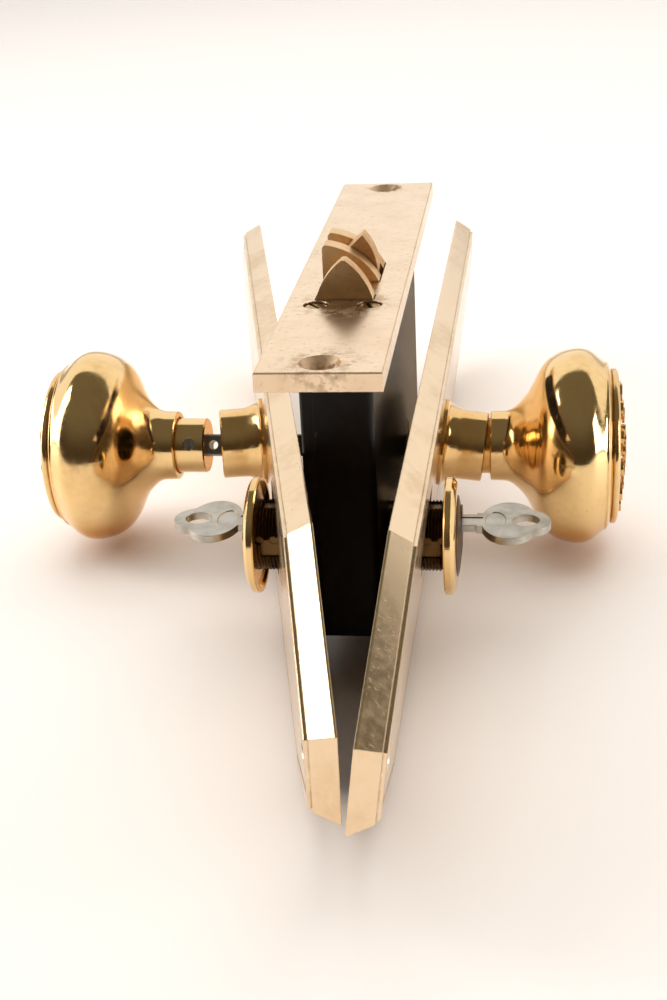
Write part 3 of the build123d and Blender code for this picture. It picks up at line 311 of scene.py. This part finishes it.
MATERIALS = {
    "front_brass": front_brass(),
    "japanned_iron": japanned_iron(),
    "dark_steel": steel("dark_steel", (0.20, 0.19, 0.18), (0.34, 0.32, 0.30), 0.38, rust=0.5),
    "old_brass_screw": old_brass(
        "old_brass_screw", (0.50, 0.34, 0.16), UMBER, rough=0.33,
        tarnish_amount=0.9, grime=0.9, scratch=0.8,
    ),
    "bolt_brass": old_brass(
        "bolt_brass", (0.90, 0.63, 0.34), (0.60, 0.32, 0.13), rough=0.40,
        tarnish_amount=0.8, grime=0.5, scratch=0.9, edge=0.3,
    ),
    "plain_steel": steel("plain_steel", (0.26, 0.25, 0.24), (0.40, 0.38, 0.36), 0.34, rust=0.4),
    "hub_bronze": old_brass(
        "hub_bronze", (0.45, 0.28, 0.12), UMBER, rough=0.42, tarnish_amount=0.9,
    ),
    # the knobs, and the thimbles that share this material, carry a painted reflection in their
    # deep necks
    "knob_brass": old_brass(
        "knob_brass", GOLD, AMBER, rough=0.085,
        tarnish_amount=0.30, grime=0.85, scratch=0.25, painted_neck_reflection=0.8,
    ),
    "cylinder_brass": old_brass(
        "cylinder_brass", (0.13, 0.075, 0.028), (0.05, 0.025, 0.010), rough=0.30,
        tarnish_amount=1.0, grime=0.9, scratch=0.6,
    ),
    "ring_brass": old_brass(
        "ring_brass", GOLD, AMBER, rough=0.10, tarnish_amount=0.30, grime=0.85, scratch=0.3,
    ),
    "pin_brass": old_brass("pin_brass", (0.70, 0.48, 0.20), (0.40, 0.22, 0.08), rough=0.28),
    "pin_spring_steel": steel(
        "pin_spring_steel", (0.4, 0.4, 0.4), (0.55, 0.55, 0.55), 0.3, rust=0.1,
    ),
    "key_nickel": key_nickel(),
    "plate_brass": old_brass(
        "plate_brass", PALE, (0.66, 0.42, 0.20), rough=0.12,
        tarnish_amount=0.35, grime=0.8, scratch=0.5, edge=0.35,
    ),
}
# pieces that look different from the rest of their CAD material
REPAINTED = {
    "thimble": "knob_brass",
    "set_screw": "pin_spring_steel",
    "chamber_plugs": "cylinder_brass",
}
for part in frame["record"]["subparts"]:
    piece = nodes[part["node"]]
    if not piece.material_slots:
        piece.data.materials.append(None)
    for slot in piece.material_slots:
        slot.material = MATERIALS[part["material_slot"]]
for ending, look in REPAINTED.items():
    for side in ("left", "right"):
        nodes[f"{side}_{ending}"].material_slots[0].material = MATERIALS[look]


# ---------------------------------------------------------------- stage
FLOOR_HALF_WIDTH = 3.0
FLOOR_FLAT = 1.6  # the sheet is flat this far to the front and to the back
FLOOR_RISE_RADIUS = 1.6
FLOOR_RISE_STEP = math.radians(4)
FLOOR_RISE_STEPS = 11


def pale_sheet():
    """A matt pale sheet with a few specks and a painted glow where nothing stands near, which
    leaves painted shade close to the object.
    """
    g = Graph("pale_sheet")
    fine = g.noise(900.0, detail=3.0, rough=0.6)
    specks = g.ramp(g.voronoi(55.0), 0.045, 0.03)
    specks = g.times(specks, g.ramp(g.noise(9.0, detail=2.0), 0.60, 0.68))
    color = g.mix(g.times(specks, 0.55), (0.90, 0.85, 0.82), (0.25, 0.19, 0.16))
    g.bump(fine, 0.06, 0.05 * MM)
    # painted light: the sheet glows a little where nothing stands within 110 mm, so it is
    # darker near the object as painted shade
    painted_open_glow = g.ramp(g.crevice(110 * MM), 0.25, 0.62, 0.0, 0.15)
    return g.finish(
        color, 0.55, metallic=0.0, Emission_Color=(1.0, 0.95, 0.92), Emission_Strength=painted_open_glow,
    )


def sweep_floor():
    """A pale sheet that runs back and lifts gently behind the object."""
    profile = [(-FLOOR_FLAT, 0.0), (FLOOR_FLAT, 0.0)]
    for k in range(1, FLOOR_RISE_STEPS + 1):
        a = k * FLOOR_RISE_STEP
        back = FLOOR_FLAT + FLOOR_RISE_RADIUS * math.sin(a)
        profile.append((back, FLOOR_RISE_RADIUS * (1 - math.cos(a))))
    edges = (-FLOOR_HALF_WIDTH, FLOOR_HALF_WIDTH)
    verts = [(x, y, FLOOR_Z + z) for y, z in profile for x in edges]
    faces = [(2 * k, 2 * k + 1, 2 * k + 3, 2 * k + 2) for k in range(len(profile) - 1)]
    mesh = bpy.data.meshes.new("floor")
    mesh.from_pydata(verts, [], faces)
    for polygon in mesh.polygons:
        polygon.use_smooth = True
    floor = bpy.data.objects.new("floor", mesh)
    bpy.context.scene.collection.objects.link(floor)
    mesh.materials.append(pale_sheet())


sweep_floor()


# ---------------------------------------------------------------- light
WINDOW_WHITE = (1.0, 0.99, 0.97)


def softbox(name, at, size, power, color=(1, 1, 1), aim=(0, 0, -0.05), mirrored=True):
    """A rectangular area light; one that isn't mirrored stays out of the polished brass."""
    data = bpy.data.lights.new(name, "AREA")
    data.shape = "RECTANGLE"
    data.size, data.size_y = size
    data.energy = power
    data.color = color
    light = bpy.data.objects.new(name, data)
    bpy.context.scene.collection.objects.link(light)
    light.location = at
    light.rotation_euler = (Vector(aim) - Vector(at)).to_track_quat("-Z", "Y").to_euler()
    light.visible_glossy = mirrored


softbox("left_light", (-1.0, 0.10, 0.45), (0.40, 1.10), 7.0, WINDOW_WHITE)
softbox("right_light", (1.05, -0.20, 0.22), (0.30, 0.55), 3.6, WINDOW_WHITE)
softbox("top_fill", (0.0, 0.25, 1.3), (1.8, 1.4), 12.0, (1.0, 0.985, 0.97), mirrored=False)
softbox("back_fill", (0.0, 1.5, 1.2), (2.4, 0.8), 10.0, aim=(0, 1.6, -0.1), mirrored=False)

# the dark room that the brass mirrors: how high its middle is, how far it reaches, its colours
ROOM_RISE = math.radians(48)
ROOM_REACH = math.radians(75)
ROOM_EDGE = math.radians(4)
ROOM_NARROWING = 2.0  # how much less it reaches to the sides than up and down
ROOM_LOW = (0.060, 0.045, 0.030)
ROOM_OVERHEAD = (0.16, 0.14, 0.10)
SURROUND = (1.08, 1.04, 0.98)


def studio_world():
    """White to the sides and behind; in front and overhead a dark room, darkest low down."""
    world = bpy.data.worlds.new("studio")
    bpy.context.scene.world = world
    world.use_nodes = True
    g = Nodes(world.node_tree)
    direction = g.node("ShaderNodeTexCoord").outputs["Generated"]
    narrowed = g.node("ShaderNodeMapping", vector_type="NORMAL")
    narrowed.inputs["Scale"].default_value = (ROOM_NARROWING, 1.0, 1.0)
    g.put(narrowed.inputs["Vector"], direction)
    room_middle = (0.0, -math.cos(ROOM_RISE), math.sin(ROOM_RISE))
    facing = g.dot(narrowed.outputs[0], room_middle)
    room = g.ramp(facing, math.cos(ROOM_REACH), math.cos(ROOM_REACH - ROOM_EDGE))
    overhead = g.ramp(g.height_of(direction), 0.15, 0.85)
    shade = g.mix(overhead, ROOM_LOW, ROOM_OVERHEAD)
    background = g.tree.nodes["Background"].inputs
    g.put(background["Color"], g.mix(room, SURROUND, shade))
    background["Strength"].default_value = 1.0


studio_world()


# ---------------------------------------------------------------- camera
CAMERA_AT = Vector((51.34, -458.53, 125.47)) * MM
CAMERA_LENS = 56.9
YAW, PITCH, ROLL = (math.radians(a) for a in (-7.80, 23.81, -2.868))


def add_camera():
    """Close in front of the lock and above it, looking down along the front."""
    forward = Vector((
        math.sin(YAW) * math.cos(PITCH),
        math.cos(YAW) * math.cos(PITCH),
        -math.sin(PITCH),
    ))
    level = Vector((math.cos(YAW), -math.sin(YAW), 0.0))
    rise = level.cross(forward)
    right = math.cos(ROLL) * level + math.sin(ROLL) * rise
    up = -math.sin(ROLL) * level + math.cos(ROLL) * rise
    data = bpy.data.cameras.new("camera")
    data.sensor_width = 36.0
    data.lens = CAMERA_LENS
    data.clip_start = 0.01
    camera = bpy.data.objects.new("camera", data)
    bpy.context.scene.collection.objects.link(camera)
    turn = Matrix((right, up, -forward)).transposed().to_4x4()
    camera.matrix_world = Matrix.Translation(CAMERA_AT) @ turn
    bpy.context.scene.camera = camera


add_camera()
bpy.context.scene.view_settings.view_transform = "Standard"
